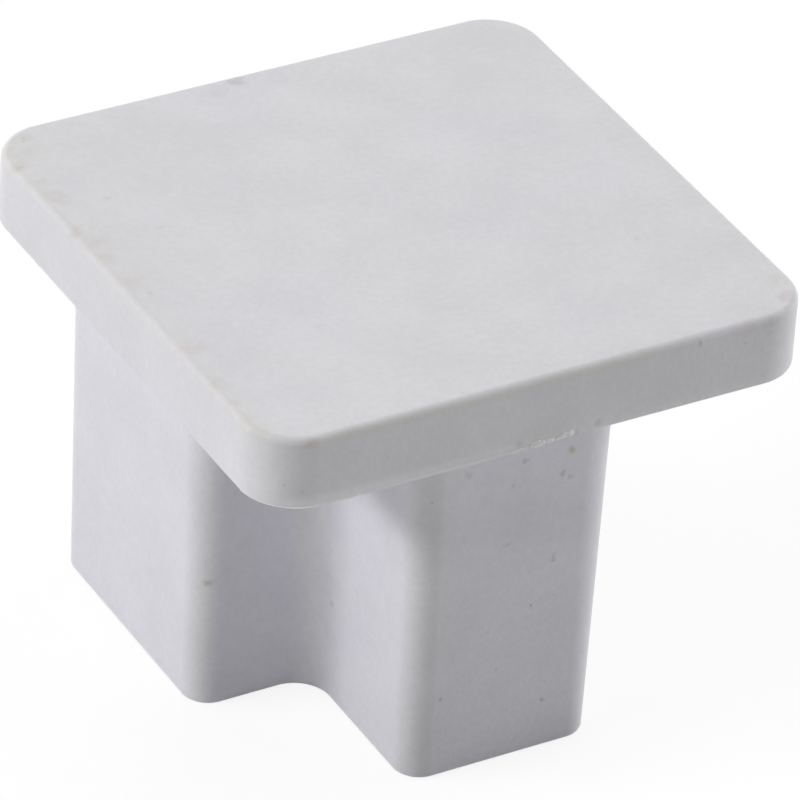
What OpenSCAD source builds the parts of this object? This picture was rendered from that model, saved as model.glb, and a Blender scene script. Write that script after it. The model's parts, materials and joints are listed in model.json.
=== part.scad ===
// End cap for square mini trunking, moulded in one piece.
// A square cover plate carries a hollow plug with an L-shaped section.
// The plug's tip stands on Z = 0 with the plate on top, and the notch is at the front left.

/* [Trunking that the cap closes] */
// Outside width of the square trunking, and so of the cover plate
duct_w = 16; // [15:0.5:25]
// Thickness of the trunking's side walls
duct_wall = 1.2; // [0.8:0.1:1.6]
// Clearance between the plug's tip and each side wall
fit_gap = 0.3; // [0.1:0.05:0.5]

/* [Cover plate] */
// Thickness of the plate
plate_t = 2.05; // [1.2:0.05:4]
// Radius of the plate's four upright corners
corner_r = 1.5; // [0.8:0.1:3]
// Radius of the rounded rim round the plate's outer face
rim_r = 0.2; // [0.1:0.05:0.7]

/* [Plug] */
// Length of the plug behind the plate
plug_len = 11; // [6:0.1:16]
// Space between the plate's left side and the plug's tip
left_space = 2; // [1.2:0.05:3]
// Space between the plate's right side and the plug's tip
right_space = 4.9; // [3:0.1:6]
// Radius of the plug's upright edges at the tip
edge_r = 0.75; // [0.3:0.05:1]
// Draft of the moulded walls, in degrees
draft = 1; // [0:0.25:2]

/* [Notch in the plug] */
// Size of the notch from left to right, at the tip
notch_w = 3.5; // [2:0.1:4]
// Size of the notch from front to back, at the tip
notch_d = 5.2; // [3:0.1:7]
// Radius in the notch's inner corner, where it meets the plate
notch_r = 0.8; // [0.4:0.05:1.2]

/* [Pocket inside the plug] */
// Wall between the plug's outside and the pocket, at the tip
wall = 1.3; // [0.8:0.1:1.7]
// Radius of the pocket's upright corners, at its roof
pocket_r = 0.3; // [0.1:0.05:0.4]

/* [Hidden] */
$fn = 48;

// The plug's tip section, seen from above with the front at the bottom
plug_left = -duct_w / 2 + left_space;
plug_right = duct_w / 2 - right_space;
plug_back = duct_w / 2 - duct_wall - fit_gap;
plug_front = -plug_back;
notch_right = plug_left + notch_w;
notch_back = plug_front + notch_d;

// How far a drafted wall leans over the plug's length, to a thousandth of a millimetre
lean = round(1000 * plug_len * tan(draft)) / 1000;

// The pocket's wall follows the notch's round, as far as the notch leaves room for it
pocket_notch_r = min(notch_r + lean + wall, min(notch_w, notch_d) - pocket_r - lean);

// Section through the plate, w wide, with its two upper corners rounded
module plate_section(w) {
    translate([-w / 2, 0]) square([w, plate_t - rim_r]);
    translate([-w / 2 + rim_r, 0]) square([w - 2 * rim_r, plate_t]);
    for (side = [-1, 1])
        translate([side * (w / 2 - rim_r), plate_t - rim_r]) circle(r = rim_r);
}

// Corner of the plate: half the section of a small round plate, turned about Z
module plate_corner() {
    rotate_extrude()
        intersection() {
            plate_section(2 * corner_r);
            square([corner_r, plate_t]);
        }
}

// Square plate on Z = 0: two crossed runs of the section and four turned corners
module cover_plate() {
    run = duct_w - 2 * corner_r;
    for (turn = [0, 90])
        rotate([90, 0, turn]) linear_extrude(run, center = true) plate_section(duct_w);
    for (x = [-1, 1], y = [-1, 1])
        translate([x * run / 2, y * run / 2, 0]) plate_corner();
}

// Trapezium that is w wide on Z = 0 and wider by two leans at height h
module drafted_section(w, h, lean) {
    polygon([[-w / 2, 0], [w / 2, 0], [w / 2 + lean, h], [-w / 2 - lean, h]]);
}

// Upright block between two corners of its foot, with drafted sides and round edges of radius r
module drafted_block(low, high, h, r, lean) {
    size = high - low;
    mid = (low + high) / 2;
    translate([mid.x, mid.y, 0]) {
        rotate([90, 0, 0])
            linear_extrude(size.y - 2 * r, center = true) drafted_section(size.x, h, lean);
        rotate([90, 0, 90])
            linear_extrude(size.x - 2 * r, center = true) drafted_section(size.y, h, lean);
        for (x = [-1, 1], y = [-1, 1])
            translate([x * (size.x / 2 - r), y * (size.y / 2 - r), 0])
                cylinder(h = h, r1 = r, r2 = r + lean);
    }
}

// Web that rounds an inner corner, with the round's axis on the Z axis and the solid at +X, +Y
module inner_round(h, r, lean, web) {
    difference() {
        cube([r + web, r + web, h]);
        cylinder(h = h, r1 = r, r2 = r - lean);
    }
}

// Drafted L that follows the plug's outline, drawn in from it by inset at the foot
module drafted_ell(inset, h, r, inner_r, lean) {
    right = plug_right - inset;
    back = plug_back - inset;
    inner = [notch_right + inset, notch_back + inset];
    drafted_block([plug_left + inset, inner.y], [right, back], h, r, lean);
    drafted_block([inner.x, plug_front + inset], [right, back], h, r, lean);
    translate([inner.x - inner_r, inner.y - inner_r, 0])
        inner_round(h, inner_r, lean, r);
}

// Plate and plug in one, with a pocket that is open at the tip and ends under the plate
module end_cap() {
    color([0.85, 0.85, 0.87])
        difference() {
            union() {
                translate([0, 0, plug_len]) cover_plate();
                drafted_ell(0, plug_len, edge_r, notch_r + lean, lean);
            }
            drafted_ell(wall, plug_len, pocket_r + lean, pocket_notch_r, -lean);
        }
}

end_cap();
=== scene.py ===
import json
import math

import bmesh
import bpy
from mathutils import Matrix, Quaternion, Vector

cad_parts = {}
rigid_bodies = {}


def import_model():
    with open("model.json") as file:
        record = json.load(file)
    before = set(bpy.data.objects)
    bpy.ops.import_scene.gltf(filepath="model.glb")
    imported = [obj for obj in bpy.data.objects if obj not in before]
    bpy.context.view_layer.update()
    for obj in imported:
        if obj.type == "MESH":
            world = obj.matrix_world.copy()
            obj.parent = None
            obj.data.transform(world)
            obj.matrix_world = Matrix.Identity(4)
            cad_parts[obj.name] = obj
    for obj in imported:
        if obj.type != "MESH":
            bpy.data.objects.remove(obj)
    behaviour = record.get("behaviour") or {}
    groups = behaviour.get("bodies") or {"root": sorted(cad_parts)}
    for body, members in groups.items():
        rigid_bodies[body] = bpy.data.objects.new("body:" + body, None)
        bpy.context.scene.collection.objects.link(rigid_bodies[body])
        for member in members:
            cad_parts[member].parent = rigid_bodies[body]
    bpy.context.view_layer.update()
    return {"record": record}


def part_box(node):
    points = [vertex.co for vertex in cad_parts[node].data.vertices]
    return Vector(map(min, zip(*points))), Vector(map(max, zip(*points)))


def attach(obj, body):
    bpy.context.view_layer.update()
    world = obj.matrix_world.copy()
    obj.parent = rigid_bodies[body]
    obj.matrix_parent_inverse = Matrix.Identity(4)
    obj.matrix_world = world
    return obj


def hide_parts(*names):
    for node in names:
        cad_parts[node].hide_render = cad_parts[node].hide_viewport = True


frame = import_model()

# Pieces are modelled in millimetres and brought to metres when they are done
mm = 0.001
mounts = {mount["name"]: mount for mount in frame["record"]["mounts"]}
capLow, capHigh = (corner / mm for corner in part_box("end_cap"))
plateWide = capHigh.x - capLow.x
plateTop = capHigh.z
plateLeft = capLow.x
plateFront = capLow.y
plugLong = mounts["rim_seat"]["pos_m"][2] / mm  # the plate's underside stands this high
print("frame: plate", round(plateWide, 2), "mm wide, top at", round(plateTop, 2), "mm")


def nothingSelected():
    if bpy.context.mode != "OBJECT":
        bpy.ops.object.mode_set(mode="OBJECT")
    bpy.ops.object.select_all(action="DESELECT")


def onlySelected(obj):
    nothingSelected()
    obj.select_set(True)
    bpy.context.view_layer.objects.active = obj


def editMesh(obj, elements):
    onlySelected(obj)
    bpy.ops.object.mode_set(mode="EDIT")
    bpy.ops.mesh.select_mode(type=elements)


def pick(elements, test):
    # selects the corners, edges or faces of the mesh in edit mode that pass the test
    kind = {"VERT": "verts", "EDGE": "edges", "FACE": "faces"}[elements]
    bpy.ops.mesh.select_mode(type=elements)
    bpy.ops.mesh.select_all(action="DESELECT")
    mesh = bmesh.from_edit_mesh(bpy.context.edit_object.data)
    for part in getattr(mesh, kind):
        part.select_set(bool(test(part)))
    mesh.select_flush_mode()
    bmesh.update_edit_mesh(bpy.context.edit_object.data)


def near(a, b):
    return abs(a - b) < 1e-4


def middle(edge):
    return (edge.verts[0].co + edge.verts[1].co) / 2


def runsUp(edge):
    return abs(edge.verts[0].co.z - edge.verts[1].co.z) > 0.5 * edge.calc_length()


def meetsWall(edge):
    return any(abs(face.normal.z) < 0.5 for face in edge.link_faces)


def applyModifiers(obj):
    onlySelected(obj)
    for modifier in list(obj.modifiers):
        bpy.ops.object.modifier_apply(modifier=modifier.name)


def toMetres(obj):
    onlySelected(obj)
    obj.scale = (mm, mm, mm)
    bpy.ops.object.transform_apply(location=True, rotation=True, scale=True)


# The cap's body: sizes in mm, as they are at the plug's tip
cap = {
    "cornerRound": 1.5,
    "cornerSteps": 16,
    "rimRound": 0.2,
    "rimSteps": 8,
    "lowerEdgeRound": 0.06,
    "leftSpace": 2.0,
    "rightSpace": 4.9,
    "sideSpace": 1.5,
    "notchWide": 3.5,
    "notchDeep": 5.2,
    "edgeRound": 0.75,
    "notchRound": 0.99,
    "edgeSteps": 12,
    # at the plate most upright edges are rounder, and the side walls stand out a little more
    "rootRounds": {"stemFront": 0.90, "stemBack": 1.30, "barBack": 1.00,
                   "barRight": 1.40, "barLeft": 0.86, "notch": 0.79},
    "rootOut": {"left": 0.10, "inner": 0.18, "right": 0.14},
    "wall": 1.3,
    "pocketRound": 0.49,
    "pocketNotchRound": 2.29,
    "draft": math.radians(1.0),
    "tipEdgeRound": 0.08,
    "hairlineSteps": 2,  # on the tip's edges and the plate's lower edge
    "rootOverlap": 0.6,  # how far the plug's wall runs into the plate before they are joined
    "smoothUnder": math.radians(35),
}


def makeRoundedSquare(name, wide, low, thick, cornerRound):
    # a square block that is left in edit mode, with its upright edges rounded
    nothingSelected()
    bpy.ops.mesh.primitive_cube_add(size=1, location=(0, 0, low + thick / 2), scale=(wide, wide, thick))
    block = bpy.context.object
    block.name = name
    bpy.ops.object.transform_apply(location=True, rotation=True, scale=True)
    editMesh(block, "EDGE")
    pick("EDGE", runsUp)
    bpy.ops.mesh.bevel(offset=cornerRound, segments=cap["cornerSteps"], affect="EDGES")
    return block


def makePlate():
    plate = makeRoundedSquare("capBody", plateWide, plugLong, plateTop - plugLong, cap["cornerRound"])
    pick("EDGE", lambda edge: near(middle(edge).z, plateTop))
    bpy.ops.mesh.bevel(offset=cap["rimRound"], segments=cap["rimSteps"], affect="EDGES")
    pick("EDGE", lambda edge: near(middle(edge).z, plugLong))
    bpy.ops.mesh.bevel(offset=cap["lowerEdgeRound"], segments=cap["hairlineSteps"], affect="EDGES")
    bpy.ops.object.mode_set(mode="OBJECT")
    return plate


def evenRounds(edge, notch):
    rounds = dict.fromkeys(cap["rootRounds"], edge)
    rounds["notch"] = notch
    return rounds


def makeEllOutline(name, inset, rounds, height, out=None):
    # a flat L that follows the plug's outline, drawn in by inset, with its side walls moved out
    out = out or {"left": 0, "inner": 0, "right": 0}
    half = plateWide / 2
    left = -half + cap["leftSpace"] + inset - out["left"]
    right = half - cap["rightSpace"] - inset + out["right"]
    front = -half + cap["sideSpace"] + inset
    back = half - cap["sideSpace"] - inset
    innerX = -half + cap["leftSpace"] + cap["notchWide"] + inset - out["inner"]
    innerY = -half + cap["sideSpace"] + cap["notchDeep"] + inset
    nothingSelected()
    centre = ((innerX + right) / 2, (innerY + back) / 2, height)
    bpy.ops.mesh.primitive_plane_add(size=1, location=centre)
    outline = bpy.context.object
    outline.name = name
    outline.scale = (right - innerX, back - innerY, 1)
    bpy.ops.object.transform_apply(location=True, rotation=True, scale=True)
    # the rear of the bar is pulled out to the left for the stem, and forwards for the bar's front
    editMesh(outline, "EDGE")
    pick("EDGE", lambda edge: near(middle(edge).x, innerX))
    bpy.ops.mesh.extrude_region_move(TRANSFORM_OT_translate={"value": (left - innerX, 0, 0)})
    pick("EDGE", lambda edge: near(middle(edge).y, innerY) and middle(edge).x > innerX)
    bpy.ops.mesh.extrude_region_move(TRANSFORM_OT_translate={"value": (0, front - innerY, 0)})
    bpy.ops.mesh.select_all(action="SELECT")
    bpy.ops.mesh.dissolve_limited(angle_limit=math.radians(1))
    corners = {"stemFront": (left, innerY), "stemBack": (left, back), "barBack": (right, back),
               "barRight": (right, front), "barLeft": (innerX, front), "notch": (innerX, innerY)}
    for corner, (x, y) in corners.items():
        pick("VERT", lambda vert: near(vert.co.x, x) and near(vert.co.y, y))
        bpy.ops.mesh.bevel(offset=rounds[corner], segments=cap["edgeSteps"], affect="VERTICES")
    bpy.ops.object.mode_set(mode="OBJECT")
    return outline


def makeEllTube(tip, root):
    # an open tube between two outlines
    onlySelected(tip)
    root.select_set(True)
    bpy.ops.object.join()
    editMesh(tip, "FACE")
    bpy.ops.mesh.select_all(action="SELECT")
    bpy.ops.mesh.delete(type="ONLY_FACE")
    editMesh(tip, "EDGE")
    bpy.ops.mesh.select_all(action="SELECT")
    bpy.ops.mesh.bridge_edge_loops()
    bpy.ops.object.mode_set(mode="OBJECT")
    return tip


def makePlug():
    slope = math.tan(cap["draft"])
    outerHigh = plugLong + cap["rootOverlap"]
    pocketLean = plugLong * slope
    plug = makeEllTube(
        makeEllOutline("plug", 0, evenRounds(cap["edgeRound"], cap["notchRound"]), 0),
        makeEllOutline("plugRoot", -outerHigh * slope, cap["rootRounds"], outerHigh, cap["rootOut"]))
    pocketRounds = evenRounds(cap["pocketRound"], cap["pocketNotchRound"])
    roofRounds = evenRounds(cap["pocketRound"] - pocketLean, cap["pocketNotchRound"] + pocketLean)
    pocket = makeEllTube(
        makeEllOutline("pocket", cap["wall"], pocketRounds, 0),
        makeEllOutline("pocketRoof", cap["wall"] + pocketLean, roofRounds, plugLong))
    editMesh(pocket, "FACE")
    bpy.ops.mesh.select_all(action="SELECT")
    bpy.ops.mesh.flip_normals()  # the pocket's walls look inwards
    onlySelected(plug)
    pocket.select_set(True)
    bpy.ops.object.join()
    editMesh(plug, "EDGE")
    pick("EDGE", lambda edge: near(middle(edge).z, 0))
    bpy.ops.mesh.bridge_edge_loops()
    for roof in (plugLong, outerHigh):
        pick("EDGE", lambda edge: near(middle(edge).z, roof))
        bpy.ops.mesh.edge_face_add()
    bpy.ops.mesh.select_all(action="SELECT")
    bpy.ops.mesh.normals_make_consistent(inside=False)
    pick("EDGE", lambda edge: near(middle(edge).z, 0) and meetsWall(edge))
    bpy.ops.mesh.bevel(offset=cap["tipEdgeRound"], segments=cap["hairlineSteps"], affect="EDGES")
    bpy.ops.object.mode_set(mode="OBJECT")
    return plug


# What the mould left on the plate's lower front edge, in mm
seam = {
    "proud": 0.050,  # how far the thin lip flares out at the plate's underside
    "high": 0.065,
    "tucked": 0.01,  # its upper edge lies this far inside the plate
    "shift": 0.065,  # to the right, so that the lip fades out round the left corner
    "rightEnd": -0.9,
    "rearEnd": -6.6,
    "step": 0.4,
    "ragged": 0.016,
    "seed": 7,
}
gate = {
    # where the runner was torn off: left to right, height over the underside, and size
    "lumps": [(-1.00, 0.010, 0.05), (-0.90, 0.010, 0.06), (-0.80, 0.000, 0.07), (-0.70, 0.010, 0.08),
              (-0.60, 0.005, 0.08), (-0.51, 0.025, 0.06), (-0.42, 0.050, 0.07), (-0.32, 0.065, 0.09),
              (-0.22, 0.080, 0.12), (-0.12, 0.060, 0.10), (-0.02, 0.055, 0.07), (0.07, 0.050, 0.08),
              (0.17, 0.065, 0.07), (0.26, 0.060, 0.06), (0.35, 0.065, 0.06), (0.44, 0.090, 0.07),
              (0.53, 0.125, 0.10), (0.62, 0.120, 0.08), (0.70, 0.135, 0.10), (0.78, 0.120, 0.07)],
    "stretch": (1.35, 0.95, 0.95),
    "sunk": 0.02,
    "ragged": 0.34,  # as a share of a lump's size
    "seed": 4,
}


def makeSeamLip():
    wide = plateWide + 2 * seam["proud"]
    middleZ = plugLong + seam["high"] / 2
    lip = makeRoundedSquare("seamLip", wide, plugLong, seam["high"], cap["cornerRound"] + seam["proud"])
    # the sides slope in to the plate's own outline at the top
    pick("VERT", lambda vert: vert.co.z > middleZ)
    narrow = (plateWide - 2 * seam["tucked"]) / wide
    bpy.ops.transform.resize(value=(narrow, narrow, 1), center_override=(0, 0, middleZ))
    bpy.ops.mesh.select_all(action="SELECT")
    bpy.ops.transform.translate(value=(seam["shift"], 0, 0))
    # kept only along the front, from the left corner to the gate
    for place, normal in (((seam["rightEnd"], 0, 0), (1, 0, 0)), ((0, seam["rearEnd"], 0), (0, 1, 0))):
        bpy.ops.mesh.select_all(action="SELECT")
        bpy.ops.mesh.bisect(plane_co=place, plane_no=normal, use_fill=True, clear_outer=True)
    # cut into short lengths, so that its outer edge can be made ragged
    cutX = seam["rightEnd"] - seam["step"]
    while cutX > -plateWide / 2 + cap["cornerRound"]:
        bpy.ops.mesh.select_all(action="SELECT")
        bpy.ops.mesh.bisect(plane_co=(cutX, 0, 0), plane_no=(1, 0, 0))
        cutX -= seam["step"]
    outside = plateWide / 2 + seam["proud"] / 2
    pick("VERT", lambda vert: -vert.co.y > outside)
    bpy.ops.transform.vertex_random(offset=seam["ragged"], seed=seam["seed"])
    bpy.ops.object.mode_set(mode="OBJECT")
    return lip


def makeGateLump(x, above, size, seed):
    nothingSelected()
    place = (x, -plateWide / 2 + gate["sunk"], plugLong + above)
    bpy.ops.mesh.primitive_ico_sphere_add(subdivisions=2, radius=size, location=place, scale=gate["stretch"])
    lump = bpy.context.object
    lump.name = "gateLump"
    bpy.ops.object.transform_apply(location=True, rotation=True, scale=True)
    editMesh(lump, "VERT")
    bpy.ops.mesh.select_all(action="SELECT")
    bpy.ops.transform.vertex_random(offset=gate["ragged"] * size, seed=seed)
    bpy.ops.object.mode_set(mode="OBJECT")
    return lump


def joinTo(obj, other):
    union = obj.modifiers.new(other.name, "BOOLEAN")
    union.operation = "UNION"
    union.solver = "EXACT"
    union.object = other
    applyModifiers(obj)
    bpy.data.objects.remove(other)


def makeBody():
    body = makePlate()
    joinTo(body, makePlug())
    joinTo(body, makeSeamLip())
    for number, (x, above, size) in enumerate(gate["lumps"]):
        joinTo(body, makeGateLump(x, above, size, gate["seed"] + number))
    onlySelected(body)
    bpy.ops.object.shade_smooth_by_angle(angle=cap["smoothUnder"])
    evened = body.modifiers.new("evenNormals", "WEIGHTED_NORMAL")
    evened.keep_sharp = True
    applyModifiers(body)
    toMetres(body)
    return body


body = makeBody()
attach(body, "root")
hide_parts("end_cap")
print("body:", len(body.data.polygons), "faces")


def newNode(tree, kind, inputs=None, **settings):
    node = tree.nodes.new(kind)
    for name, value in settings.items():
        setattr(node, name, value)
    for key, value in (inputs or {}).items():
        if isinstance(value, bpy.types.NodeSocket):
            tree.links.new(value, node.inputs[key])
        else:
            node.inputs[key].default_value = value
    return node


def mathOf(tree, operation, first, *others):
    for other in others:
        first = newNode(tree, "ShaderNodeMath", {0: first, 1: other}, operation=operation).outputs[0]
    return first


def times(tree, *factors):
    return mathOf(tree, "MULTIPLY", *factors)


def largest(tree, *values):
    return mathOf(tree, "MAXIMUM", *values)


def vectorMath(tree, operation, inputs, output="Vector"):
    return newNode(tree, "ShaderNodeVectorMath", inputs, operation=operation).outputs[output]


def between(tree, value, start, end, atStart=0.0, atEnd=1.0):
    # eases from one level to another while the value goes from start to end
    ease = {"Value": value, "From Min": start, "From Max": end, "To Min": atStart, "To Max": atEnd}
    return newNode(tree, "ShaderNodeMapRange", ease, interpolation_type="SMOOTHSTEP").outputs[0]


def cloud(tree, place, scale, detail, output=0):
    noise = {"Vector": place, "Scale": scale, "Detail": detail}
    return newNode(tree, "ShaderNodeTexNoise", noise).outputs[output]


def tint(tree, factor, under, over, blend="MIX"):
    layers = {0: factor, 6: under, 7: over}
    return newNode(tree, "ShaderNodeMix", layers, data_type="RGBA", blend_type=blend).outputs[2]


# Satin white PVC. Tones are linear, and lengths are in mm. A cloud is a noise's scale and detail. A fade
# is the value where it starts and where it ends, and then the levels there if they aren't 0 and 1.
noiseSpan = (0.25, 0.75)  # most of a noise's values lie in here
pvc = {
    "plateTone": (0.737, 0.734, 0.762, 1),
    "slowCloud": (0.55, 4.0),
    "slowAmount": 0.030,
    "fineCloud": (5.5, 3.0),
    "fineAmount": 0.022,
    "roughCloud": (1.1, 4.0),
    "roughness": (0.46, 0.54),
    "ior": 1.53,
    "bumpClouds": [(7.0, 3.0), (0.9, 2.0)],
    "bumpStrength": 0.5,
    "bumpDepth": 0.000012,  # in metres
}
cool = {
    # cooler on the plug, on the sides and where the tone drifts
    "tone": (0.737, 0.729, 0.783, 1),
    "driftCloud": (0.22, 3.0),
    "belowPlate": (-0.4, 0.8),
    "plugDrift": (0.2, 0.5, 0.6, 1.0),
    "looksRearward": (0.2, 0.6),
    "lessAtRear": (0.0, 1.0, 1.0, 0.55),
    "looksLeft": (-0.3, -0.8),
    "sideShare": 0.45,
    "patches": (0.50, 0.66, 0.0, 0.45),
    # warmer again on the plug's handled upright edges, which look left and forwards
    "handled": (-0.2, -0.5),
    "barEdgeX": (-1.2, -1.9),
    "barEdgeY": (-6.2, -6.4),
    "barEdgeShare": 0.8,
}
# edge tones: wear on the rims, with painted shade on the left rim and painted light along the plate's lower
# front edge
edgeWearAndPaintedLight = {
    "patchCloud": (1.6, 3.0),
    "patches": (0.30, 0.60, 0.55, 1.0),
    "edges": {
        "leftBand": {"tone": (0.748, 0.738, 0.744, 1), "patchy": True,  # on the top beside the left rim
                     "fades": {"fromLeft": (0.75, 0.28), "fromTop": (0.15, 0.05)}},
        "leftRimWornAndShaded": {"tone": (0.730, 0.716, 0.730, 1), "patchy": False,  # painted shade that tones down the rim's highlight, and a little warm from rubbing
                    "fades": {"fromLeft": (0.30, 0.16), "fromTop": (0.27, 0.15)}},
        "frontRim": {"tone": (0.737, 0.730, 0.720, 1), "patchy": True,
                     "fades": {"fromFront": (0.12, 0.03), "fromTop": (0.39, 0.21), "along": (5.5, 2.5)}},
        "lowerEdgePaintedLight": {"tone": (0.868, 0.858, 0.884, 1), "patchy": False,  # painted light: paler towards the seam, standing in for light that the front's flaring foot catches from above
                      "fades": {"fromFront": (0.40, 0.10), "overUnderside": (0.42, 0.0),
                                "along": (-5.5, 1.5, 1.0, 0.35)}},
    },
}
marks = {
    # each mark: its middle, its radius and how much of it shows
    # darker blotches: stains on the top, and painted shade on the bar's front and the plate's left side
    "blotchesAndPaintedShade": {"tone": (0.66, 0.66, 0.675, 1), "spots": [
        ((-4.51, 5.61, plateTop), 3.40, 0.42), ((-1.65, 5.52, plateTop), 1.90, 0.20),
        ((5.84, 5.87, plateTop), 2.40, 0.28), ((5.96, -4.96, plateTop), 2.00, 0.24),
        # painted shadow of the plate's front corner on the bar's front, just under the plate
        ((-2.27, -6.66, 9.42), 1.00, 0.40), ((-2.16, -6.65, 8.32), 0.90, 0.38),
        # painted shade that darkens the plate's left side
        ((plateLeft, 5.00, 12.00), 3.60, 0.40), ((plateLeft, 0.50, 12.00), 3.80, 0.42),
        ((plateLeft, -3.50, 12.00), 3.20, 0.34)]},
    "yellowed": {"tone": (0.58, 0.56, 0.44, 1), "spots": [
        ((-7.08, 7.40, plateTop), 0.38, 0.38), ((-7.58, 6.87, plateTop), 0.40, 0.42),
        ((-7.77, 6.26, plateTop), 0.36, 0.45), ((-7.35, 6.95, plateTop), 0.95, 0.26),
        ((-7.73, 5.34, plateTop), 0.38, 0.28), ((-7.67, 4.79, plateTop), 0.35, 0.14),
        ((-7.84, -5.84, plateTop), 0.40, 0.16), ((-7.86, -6.51, plateTop), 0.45, 0.22),
        ((-7.81, -7.06, plateTop), 0.45, 0.22), ((7.51, -6.59, plateTop), 0.50, 0.24),
        ((0.00, plateFront, 11.09), 0.90, 0.12), ((1.65, -6.67, 9.50), 0.22, 0.40),
        ((-0.74, plateFront, 11.24), 0.28, 0.32), ((1.54, plateFront, 11.23), 0.25, 0.32),
        ((1.17, plateFront, 11.09), 0.30, 0.20)]},
    "rubbed": {"tone": (0.62, 0.53, 0.50, 1), "spots": [
        ((-7.51, 4.46, plateTop), 0.55, 0.32), ((-7.82, 2.87, plateTop), 0.34, 0.40),
        ((-7.63, 2.17, plateTop), 0.48, 0.28), ((-7.70, 1.43, plateTop), 0.38, 0.28),
        ((-7.60, 0.21, plateTop), 0.44, 0.22), ((-7.59, -3.16, plateTop), 0.60, 0.26),
        ((-7.70, -4.88, plateTop), 0.50, 0.26), ((-6.79, plateFront, 12.96), 0.32, 0.50),
        ((7.36, -7.33, plateTop), 0.35, 0.50), ((6.55, -7.95, 13.00), 0.45, 0.30),
        ((5.87, -7.98, 12.95), 0.50, 0.16), ((-5.69, -1.27, 4.00), 0.27, 0.75)]},
    "dirt": {"tone": (0.28, 0.275, 0.24, 1), "spots": [
        ((-0.62, 7.63, plateTop), 0.33, 0.34), ((-1.25, 7.36, plateTop), 0.35, 0.12),
        ((-7.77, 6.26, plateTop), 0.13, 0.26), ((-7.11, 7.35, plateTop), 0.13, 0.22),
        ((-5.69, -1.27, 4.00), 0.19, 0.34), ((0.95, plateFront, 11.08), 0.16, 0.50),
        ((-0.74, plateFront, 11.24), 0.17, 0.18), ((1.54, plateFront, 11.23), 0.18, 0.16),
        ((4.39, plateFront, 12.83), 0.14, 0.45), ((1.65, -6.67, 9.50), 0.14, 0.34)]},
    "specks": {"tone": (0.27, 0.27, 0.30, 1), "spots": [
        ((-6.36, 3.94, plateTop), 0.16, 0.12), ((-5.76, 2.16, plateTop), 0.17, 0.08),
        ((-7.42, -0.48, plateTop), 0.16, 0.10), ((5.22, -3.44, plateTop), 0.20, 0.10),
        ((-6.15, 1.01, 8.58), 0.13, 0.32), ((-2.55, -2.35, 3.15), 0.18, 0.38),
        ((0.35, -6.67, 9.53), 0.13, 0.72), ((1.50, -6.65, 8.84), 0.13, 0.44),
        ((1.70, -6.65, 8.67), 0.12, 0.42), ((0.03, -6.62, 7.04), 0.14, 0.46),
        ((1.44, -6.61, 6.17), 0.13, 0.48), ((-0.04, -6.65, 8.86), 0.12, 0.40),
        ((-1.70, -6.54, 2.51), 0.13, 0.52), ((1.53, -6.53, 1.56), 0.13, 0.46),
        ((0.89, -6.58, 4.86), 0.12, 0.42), ((-1.35, -6.66, 9.62), 0.18, 0.30),
        ((6.55, plateFront, 12.60), 0.12, 0.30), ((6.33, plateFront, 12.08), 0.10, 0.20)]},
}
markEdges = {
    "core": 0.2,  # the share of a mark's radius that shows in full
    "wobbleCloud": (2.4, 2.0),
    "wobble": 0.45,
    "brokenCloud": (3.0, 3.0),
    "broken": (0.30, 0.62, 0.45, 1.0),
}
fineSpecks = {
    "tone": (0.30, 0.30, 0.29, 1),
    "perMm": 2.6,
    "largest": 0.17,
    "rarity": 4.0,  # a higher power leaves fewer large ones
    "soft": (0.0, 0.7),
    "frontal": (-0.35, -0.8, 0.30, 1.0),
    "amount": 0.55,
}
pale = {
    # thin flash on the seam is paler, and the plastic whitened where the gate tore
    "flashTone": (0.82, 0.815, 0.81, 1),
    "flashSlope": (0.2, 0.4),
    "flashHigh": (0.20, 0.12),
    "flashCloud": (1.3, 2.0),
    "flashUneven": (0.35, 0.65, 0.35, 1.0),
    "tornTone": (0.90, 0.90, 0.89, 1),
    "tornLeft": (-1.1, -0.8),
    "tornRight": (0.92, 0.8),
    "tornHigh": (0.32, 0.20),
    "tornProud": (0.0, -0.03),
    "tornCloud": (4.0, 2.0),
    "tornUneven": (0.38, 0.60, 0.25, 1.0),
}


def coolDrifts(tree, place, at, facing):
    drift = cloud(tree, place, *cool["driftCloud"])
    belowPlate = mathOf(tree, "SUBTRACT", plugLong, at["Z"])
    rear = largest(tree, *(between(tree, facing[axis], *cool["looksRearward"]) for axis in "XY"))
    sides = largest(tree, rear, between(tree, facing["X"], *cool["looksLeft"]))
    onPlug = times(tree, between(tree, belowPlate, *cool["belowPlate"]),
                   between(tree, drift, *cool["plugDrift"]), between(tree, rear, *cool["lessAtRear"]))
    share = largest(tree, onPlug, times(tree, sides, cool["sideShare"]),
                    between(tree, drift, *cool["patches"]))
    handled = times(tree, *(between(tree, facing[axis], *cool["handled"]) for axis in "XY"))
    barEdge = times(tree, between(tree, at["X"], *cool["barEdgeX"]),
                    between(tree, at["Y"], *cool["barEdgeY"]), cool["barEdgeShare"])
    share = times(tree, share, mathOf(tree, "SUBTRACT", 1.0, largest(tree, handled, barEdge)))
    return tint(tree, share, pvc["plateTone"], cool["tone"])


# lays the rims' wear, the left rim's painted shade and the lower edge's painted light over the tone
def wornAndPaintedEdges(tree, tone, place, away):
    patches = between(tree, cloud(tree, place, *edgeWearAndPaintedLight["patchCloud"]), *edgeWearAndPaintedLight["patches"])
    for edge in edgeWearAndPaintedLight["edges"].values():
        fades = [between(tree, away[side], *fade) for side, fade in edge["fades"].items()]
        mask = times(tree, *fades, patches) if edge["patchy"] else times(tree, *fades)
        tone = tint(tree, mask, tone, edge["tone"])
    return tone


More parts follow.
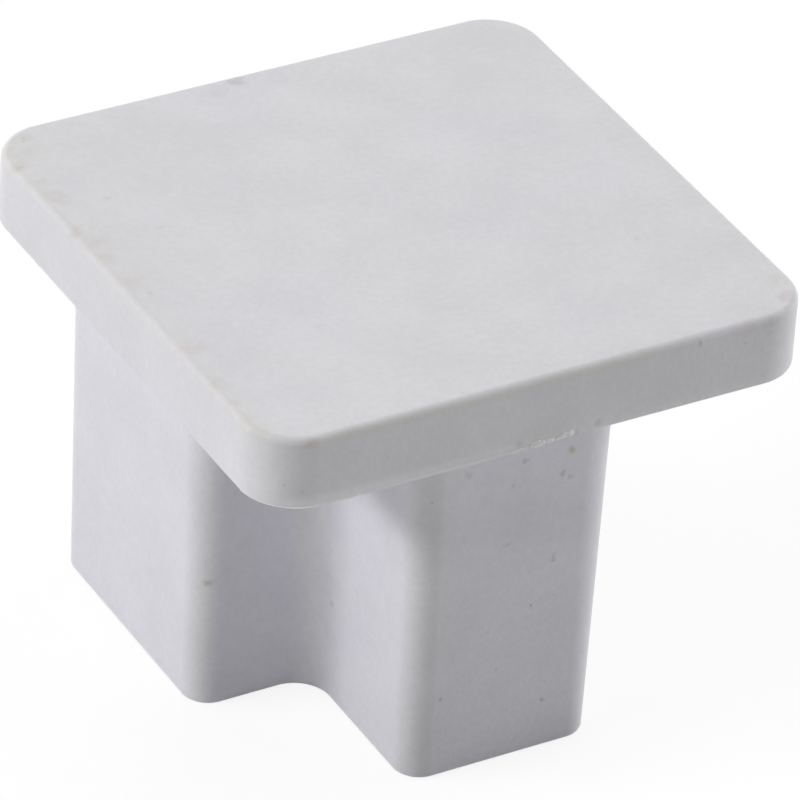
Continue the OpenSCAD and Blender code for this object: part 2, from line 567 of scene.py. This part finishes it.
def unevenTone(tree, tone, place):
    levels = []
    for kind in ("slow", "fine"):
        amount = pvc[kind + "Amount"]
        noise = cloud(tree, place, *pvc[kind + "Cloud"])
        levels.append(between(tree, noise, *noiseSpan, 1 - amount, 1 + amount))
    level = times(tree, *levels)
    grey = newNode(tree, "ShaderNodeCombineColor", {0: level, 1: level, 2: level}).outputs[0]
    return tint(tree, 1.0, tone, grey, "MULTIPLY")


def spotMask(tree, place, spots):
    masks = []
    for centre, radius, amount in spots:
        away = vectorMath(tree, "DISTANCE", {0: place, 1: centre}, "Value")
        masks.append(between(tree, away, markEdges["core"] * radius, radius, amount, 0.0))
    return largest(tree, *masks)


def markedTone(tree, tone, place):
    # the marks' edges wander and are broken up
    wobble = cloud(tree, place, *markEdges["wobbleCloud"], "Color")
    wobble = vectorMath(tree, "SUBTRACT", {0: wobble, 1: (0.5, 0.5, 0.5)})
    wobble = vectorMath(tree, "SCALE", {0: wobble, "Scale": markEdges["wobble"]})
    shifted = vectorMath(tree, "ADD", {0: place, 1: wobble})
    broken = between(tree, cloud(tree, place, *markEdges["brokenCloud"]), *markEdges["broken"])
    for kind in marks.values():
        mask = times(tree, spotMask(tree, shifted, kind["spots"]), broken)
        tone = tint(tree, mask, tone, kind["tone"])
    return tone


def speckMasks(tree, place, facing):
    # specks of uneven size and strength, most of them on the faces that look to the front
    cells = newNode(tree, "ShaderNodeTexVoronoi", {"Vector": place, "Scale": fineSpecks["perMm"]}).outputs
    chance = newNode(tree, "ShaderNodeSeparateColor", {0: cells["Color"]}).outputs
    size = times(tree, mathOf(tree, "POWER", chance[0], fineSpecks["rarity"]), fineSpecks["largest"])
    inside = mathOf(tree, "SUBTRACT", 1.0, mathOf(tree, "DIVIDE", cells["Distance"], size))
    frontal = between(tree, facing["Y"], *fineSpecks["frontal"])
    specks = times(tree, between(tree, inside, *fineSpecks["soft"]), frontal)
    return specks, times(tree, specks, chance[1], fineSpecks["amount"])


def paleFlaws(tree, tone, place, at, facing, away):
    uneven = between(tree, cloud(tree, place, *pale["flashCloud"]), *pale["flashUneven"])
    flash = times(tree, between(tree, facing["Z"], *pale["flashSlope"]),
                  between(tree, away["overUnderside"], *pale["flashHigh"]), uneven)
    tone = tint(tree, flash, tone, pale["flashTone"])
    uneven = between(tree, cloud(tree, place, *pale["tornCloud"]), *pale["tornUneven"])
    torn = times(tree, between(tree, at["X"], *pale["tornLeft"]), between(tree, at["X"], *pale["tornRight"]),
                 between(tree, away["overUnderside"], *pale["tornHigh"]),
                 between(tree, away["fromFront"], *pale["tornProud"]), uneven)
    return tint(tree, torn, tone, pale["tornTone"])


def makePvc():
    material = bpy.data.materials.new("satinPvc")
    material.use_nodes = True
    tree = material.node_tree
    shader = tree.nodes["Principled BSDF"]
    coords = tree.nodes.new("ShaderNodeTexCoord").outputs
    place = vectorMath(tree, "SCALE", {0: coords["Object"], "Scale": 1 / mm})  # millimetres
    at = newNode(tree, "ShaderNodeSeparateXYZ", {0: place}).outputs
    facing = newNode(tree, "ShaderNodeSeparateXYZ", {0: coords["Normal"]}).outputs
    away = {
        "fromLeft": mathOf(tree, "SUBTRACT", at["X"], plateLeft),
        "fromFront": mathOf(tree, "SUBTRACT", at["Y"], plateFront),
        "fromTop": mathOf(tree, "SUBTRACT", plateTop, at["Z"]),
        "overUnderside": mathOf(tree, "SUBTRACT", at["Z"], plugLong),
        "along": at["X"],
    }

    tone = coolDrifts(tree, place, at, facing)
    tone = wornAndPaintedEdges(tree, tone, place, away)
    tone = unevenTone(tree, tone, place)
    tone = markedTone(tree, tone, place)
    specks, speckAmount = speckMasks(tree, place, facing)
    tone = tint(tree, speckAmount, tone, fineSpecks["tone"])
    tone = paleFlaws(tree, tone, place, at, facing, away)
    tree.links.new(tone, shader.inputs["Base Color"])

    rough = between(tree, cloud(tree, place, *pvc["roughCloud"]), *noiseSpan, *pvc["roughness"])
    tree.links.new(rough, shader.inputs["Roughness"])
    shader.inputs["IOR"].default_value = pvc["ior"]
    height = mathOf(tree, "ADD", *(cloud(tree, place, *bumps) for bumps in pvc["bumpClouds"]))
    height = mathOf(tree, "SUBTRACT", height, specks)  # the specks are shallow pits
    relief = {"Height": height, "Strength": pvc["bumpStrength"], "Distance": pvc["bumpDepth"]}
    bump = newNode(tree, "ShaderNodeBump", relief)
    tree.links.new(bump.outputs[0], shader.inputs["Normal"])
    return material


satinPvc = makePvc()
body.data.materials.clear()
body.data.materials.append(satinPvc)
print("material:", len(satinPvc.node_tree.nodes), "nodes")


# Pale floor, in metres: white to the camera, and it keeps the shadow
floor = {
    "wide": 3.0,
    "under": 0.00002,  # a hair below the tip, so that the two faces don't coincide
    "colour": (0.70, 0.70, 0.70, 1),
    "shadePatchColour": (0.48, 0.48, 0.48, 1),  # painted shade: it throws back less light right in front of the plug, so the plug's foot is darker
    "shadePatchAt": (-0.0010, -0.0068, 0),
    "shadePatchFade": (0.0027, 0.009, 1.0, 0.0),
    "seenColour": (0.20, 0.20, 0.20, 1),
    "glow": 0.84,
}
room = {"colour": (1, 1, 1, 1), "light": 0, "seen": 1}


def seenByCamera(tree):
    # 1 for the rays that show a background: straight from the camera, mirrored or let through
    path = tree.nodes.new("ShaderNodeLightPath").outputs
    return largest(tree, path["Is Camera Ray"], path["Is Glossy Ray"], path["Is Transmission Ray"])


def makeFloor():
    nothingSelected()
    bpy.ops.mesh.primitive_plane_add(size=floor["wide"], location=(0, 0, -floor["under"]))
    ground = bpy.context.object
    ground.name = "floor"
    material = bpy.data.materials.new("paleFloor")
    material.use_nodes = True
    tree = material.node_tree
    tree.nodes.clear()
    place = tree.nodes.new("ShaderNodeTexCoord").outputs["Object"]
    # painted shade: a darker patch of floor right in front of the plug
    away = vectorMath(tree, "DISTANCE", {0: place, 1: floor["shadePatchAt"]}, "Value")
    shadePatch = between(tree, away, *floor["shadePatchFade"])
    colour = tint(tree, shadePatch, floor["colour"], floor["shadePatchColour"])
    matt = newNode(tree, "ShaderNodeBsdfDiffuse", {"Color": colour}).outputs[0]
    seenMatt = newNode(tree, "ShaderNodeBsdfDiffuse", {"Color": floor["seenColour"]}).outputs[0]
    glow = newNode(tree, "ShaderNodeEmission", {"Strength": floor["glow"]}).outputs[0]
    lifted = newNode(tree, "ShaderNodeAddShader", {0: seenMatt, 1: glow}).outputs[0]
    shown = newNode(tree, "ShaderNodeMixShader", {0: seenByCamera(tree), 1: matt, 2: lifted}).outputs[0]
    newNode(tree, "ShaderNodeOutputMaterial", {"Surface": shown})
    ground.data.materials.append(material)


def makeRoom():
    # white behind the object, and the lamps alone light it
    world = bpy.data.worlds.new("room")
    bpy.context.scene.world = world
    world.use_nodes = True
    tree = world.node_tree
    tree.nodes.clear()
    layers = {0: seenByCamera(tree)}
    for socket, strength in ((1, room["light"]), (2, room["seen"])):
        layer = newNode(tree, "ShaderNodeBackground", {"Color": room["colour"], "Strength": strength})
        layers[socket] = layer.outputs[0]
    shown = newNode(tree, "ShaderNodeMixShader", layers).outputs[0]
    newNode(tree, "ShaderNodeOutputWorld", {"Surface": shown})


# Soft boxes all round, with a narrow key lamp at the left. Turn is about Z from the front, rise is the
# height over the floor in degrees, and the sizes are in metres. At level 1 a lamp alone would show a wall
# that faces it in its own colour.
studio = {
    "leftKey": {"turn": -101, "rise": 32, "away": 0.22, "wide": 0.135, "high": 0.03, "level": 0.434},
    "leftSoft": {"turn": -112, "rise": 26, "away": 0.30, "wide": 0.24, "high": 0.22, "level": 0.280},
    "frontLow": {"turn": -20, "rise": 12, "away": 0.30, "wide": 0.20, "high": 0.20, "level": 0.080},
    "rightFront": {"turn": 65, "rise": 11, "away": 0.30, "wide": 0.24, "high": 0.20, "level": 0.325},
    "rightBox": {"turn": 100, "rise": 11, "away": 0.30, "wide": 0.28, "high": 0.17, "level": 0.560},
    "rightHigh": {"turn": 90, "rise": 65, "away": 0.30, "wide": 0.20, "high": 0.20, "level": 0.072},
    "backHigh": {"turn": 150, "rise": 45, "away": 0.30, "wide": 0.20, "high": 0.20, "level": 0.086},
    "backLow": {"turn": 180, "rise": 12, "away": 0.30, "wide": 0.20, "high": 0.20, "level": 0.315},
    "topBox": {"turn": 0, "rise": 85, "away": 0.30, "wide": 0.20, "high": 0.20, "level": 0.206},
}
glareRise = 40  # a lamp that stands lower would glare on the plate, seen from the other side


def awayFrom(centre, turn, rise, away):
    a, e = math.radians(turn), math.radians(rise)
    return centre + away * Vector((math.sin(a) * math.cos(e), -math.cos(a) * math.cos(e), math.sin(e)))


def makeLamp(name, spec):
    centre = Vector((0, 0, plateTop * mm / 2))
    place = awayFrom(centre, spec["turn"], spec["rise"], spec["away"])
    nothingSelected()
    bpy.ops.object.light_add(type="AREA", location=place)
    lamp = bpy.context.object
    lamp.name = name
    lamp.data.shape = "RECTANGLE"
    lamp.data.size = spec["wide"]
    lamp.data.size_y = spec["high"]
    lamp.data.energy = math.pi ** 2 * spec["away"] ** 2 * spec["level"]
    lamp.visible_glossy = spec["rise"] > glareRise
    lamp.rotation_mode = "QUATERNION"
    lamp.rotation_quaternion = (centre - place).to_track_quat("-Z", "Y")


makeFloor()
makeRoom()
for lampName, lampSpec in studio.items():
    makeLamp(lampName, lampSpec)
print("studio: floor, room and", len(studio), "lamps")


# Camera at the photograph's viewing angle, tilted a little as the photograph is
camera = {
    "turn": -31.03,
    "rise": 34.01,
    "roll": 3.74,
    "away": 0.19635,
    "aim": (0.000536, 0.000110, 0.007170),
    "lens": 335.4,
    "sensor": 36,
    "nearest": 0.001,
    "farthest": 20,
}


def makeCamera():
    aim = Vector(camera["aim"])
    place = awayFrom(aim, camera["turn"], camera["rise"], camera["away"])
    nothingSelected()
    bpy.ops.object.camera_add(location=place)
    viewer = bpy.context.object
    viewer.rotation_mode = "QUATERNION"
    level = (aim - place).to_track_quat("-Z", "Y")
    viewer.rotation_quaternion = level @ Quaternion((0, 0, 1), math.radians(camera["roll"]))
    viewer.data.sensor_width = camera["sensor"]
    viewer.data.lens = camera["lens"]
    viewer.data.clip_start = camera["nearest"]
    viewer.data.clip_end = camera["farthest"]
    bpy.context.scene.camera = viewer


makeCamera()
bpy.context.scene.view_settings.view_transform = "Standard"
print("camera: done")
